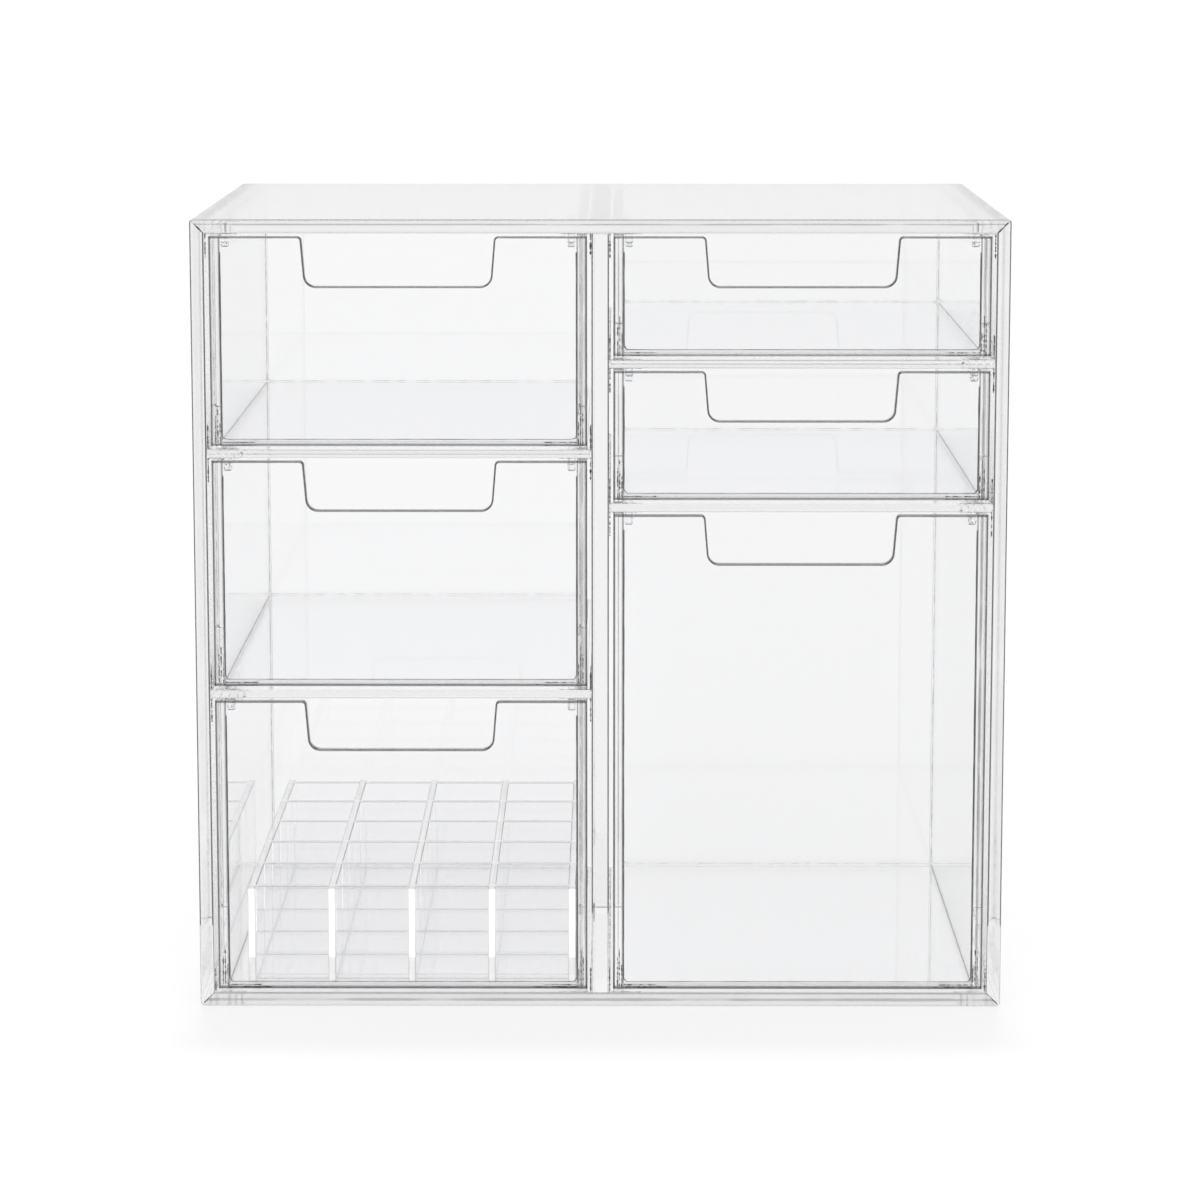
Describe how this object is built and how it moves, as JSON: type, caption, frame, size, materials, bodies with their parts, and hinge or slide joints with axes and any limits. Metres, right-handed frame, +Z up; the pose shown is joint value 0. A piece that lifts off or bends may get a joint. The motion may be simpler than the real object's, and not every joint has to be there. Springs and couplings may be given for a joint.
{
  "type": "clear drawer organizer",
  "caption": "Clear sheet cabinet with side-by-side columns of sliding drawers, each with a finger notch and stop blocks, and a lift-out lipstick divider in one of them.",
  "frame": {"origin": "middle of the case's underside", "axes": "+Z up; the drawers open towards -Y; +X to the right seen from the front"},
  "size_m": [0.3, 0.216, 0.295],
  "materials": {
    "case_clear": "clear colourless sheet with polished edges",
    "drawer_clear": "clear colourless sheet with polished edges",
    "insert_clear": "clear colourless sheet, edges flame polished and bright",
    "stop_clear": "clear colourless blocks"
  },
  "bodies": {
    "case": {"case_back": "case_clear", "case_base": "case_clear", "case_divider": "case_clear", "case_left_side": "case_clear", "case_right_side": "case_clear", "case_top": "case_clear", "left_bottom_stops": "stop_clear", "left_lower_shelf": "case_clear", "left_middle_stops": "stop_clear", "left_top_stops": "stop_clear", "left_upper_shelf": "case_clear", "right_bottom_stops": "stop_clear", "right_lower_shelf": "case_clear", "right_middle_stops": "stop_clear", "right_top_stops": "stop_clear", "right_upper_shelf": "case_clear"},
    "lipstick_insert": {"insert_cross_sheet_1": "insert_clear", "insert_cross_sheet_2": "insert_clear", "insert_cross_sheet_3": "insert_clear", "insert_cross_sheet_4": "insert_clear", "insert_cross_sheet_5": "insert_clear", "insert_cross_sheet_6": "insert_clear", "insert_long_sheet_1": "insert_clear", "insert_long_sheet_2": "insert_clear", "insert_long_sheet_3": "insert_clear", "insert_long_sheet_4": "insert_clear", "insert_long_sheet_5": "insert_clear"},
    "left_bottom_drawer": {"left_bottom_drawer_back": "drawer_clear", "left_bottom_drawer_floor": "drawer_clear", "left_bottom_drawer_front": "drawer_clear", "left_bottom_drawer_left_side": "drawer_clear", "left_bottom_drawer_right_side": "drawer_clear"},
    "left_middle_drawer": {"left_middle_drawer_back": "drawer_clear", "left_middle_drawer_floor": "drawer_clear", "left_middle_drawer_front": "drawer_clear", "left_middle_drawer_left_side": "drawer_clear", "left_middle_drawer_right_side": "drawer_clear"},
    "left_top_drawer": {"left_top_drawer_back": "drawer_clear", "left_top_drawer_floor": "drawer_clear", "left_top_drawer_front": "drawer_clear", "left_top_drawer_left_side": "drawer_clear", "left_top_drawer_right_side": "drawer_clear"},
    "right_bottom_drawer": {"right_bottom_drawer_back": "drawer_clear", "right_bottom_drawer_floor": "drawer_clear", "right_bottom_drawer_front": "drawer_clear", "right_bottom_drawer_left_side": "drawer_clear", "right_bottom_drawer_right_side": "drawer_clear"},
    "right_middle_drawer": {"right_middle_drawer_back": "drawer_clear", "right_middle_drawer_floor": "drawer_clear", "right_middle_drawer_front": "drawer_clear", "right_middle_drawer_left_side": "drawer_clear", "right_middle_drawer_right_side": "drawer_clear"},
    "right_top_drawer": {"right_top_drawer_back": "drawer_clear", "right_top_drawer_floor": "drawer_clear", "right_top_drawer_front": "drawer_clear", "right_top_drawer_left_side": "drawer_clear", "right_top_drawer_right_side": "drawer_clear"}
  },
  "joints": [
    {"name": "left_top_drawer_slide", "type": "slide", "parent": "case", "child": "left_top_drawer", "axis": [0, -1, 0], "range_m": [0, 0.172]},
    {"name": "left_middle_drawer_slide", "type": "slide", "parent": "case", "child": "left_middle_drawer", "axis": [0, -1, 0], "range_m": [0, 0.172]},
    {"name": "left_bottom_drawer_slide", "type": "slide", "parent": "case", "child": "left_bottom_drawer", "axis": [0, -1, 0], "range_m": [0, 0.172]},
    {"name": "right_top_drawer_slide", "type": "slide", "parent": "case", "child": "right_top_drawer", "axis": [0, -1, 0], "range_m": [0, 0.172]},
    {"name": "right_middle_drawer_slide", "type": "slide", "parent": "case", "child": "right_middle_drawer", "axis": [0, -1, 0], "range_m": [0, 0.172]},
    {"name": "right_bottom_drawer_slide", "type": "slide", "parent": "case", "child": "right_bottom_drawer", "axis": [0, -1, 0], "range_m": [0, 0.172]},
    {"name": "insert_lift", "type": "slide", "parent": "left_bottom_drawer", "child": "lipstick_insert", "axis": [0, 0, 1], "range_m": [0, 0.06]}
  ]
}
